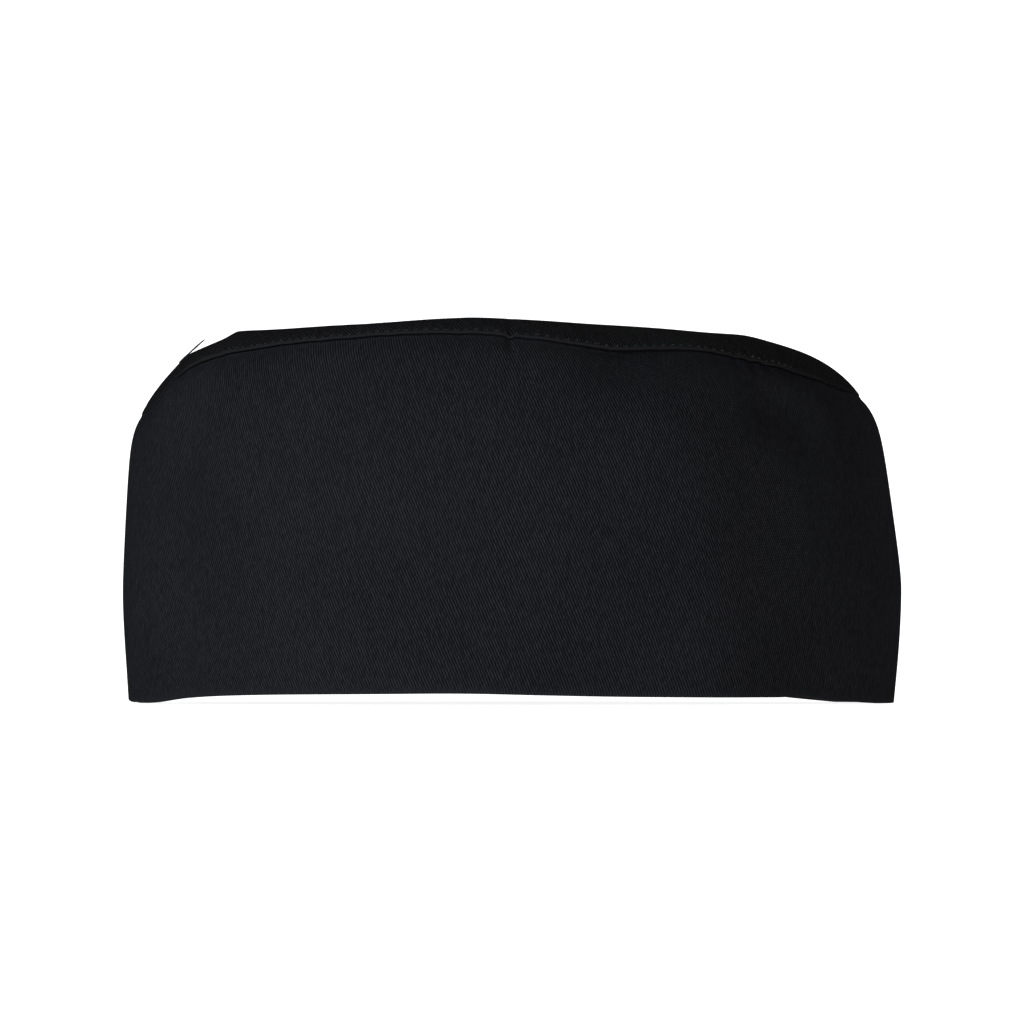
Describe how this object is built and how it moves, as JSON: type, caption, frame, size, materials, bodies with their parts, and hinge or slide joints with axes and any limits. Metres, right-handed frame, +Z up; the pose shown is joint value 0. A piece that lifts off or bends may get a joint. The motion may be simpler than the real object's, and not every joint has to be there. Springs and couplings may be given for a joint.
{
  "type": "chef hat",
  "caption": "Soft round black twill chef hat: a tall side band with a gently domed top panel sewn on, open below for the head.",
  "frame": {"origin": "centre of the footprint, on the surface that the hem rests on", "axes": "+Z up, -Y to the front of the hat, +X to the right of someone looking at the front"},
  "size_m": [0.187, 0.187, 0.0898],
  "materials": {
    "black_twill": "matt black cotton-blend twill with a steep diagonal wale about 0.7 mm apart and self-coloured topstitching"
  },
  "bodies": {
    "root": {"side_band": "black_twill", "crown_panel": "black_twill"}
  },
  "joints": []
}
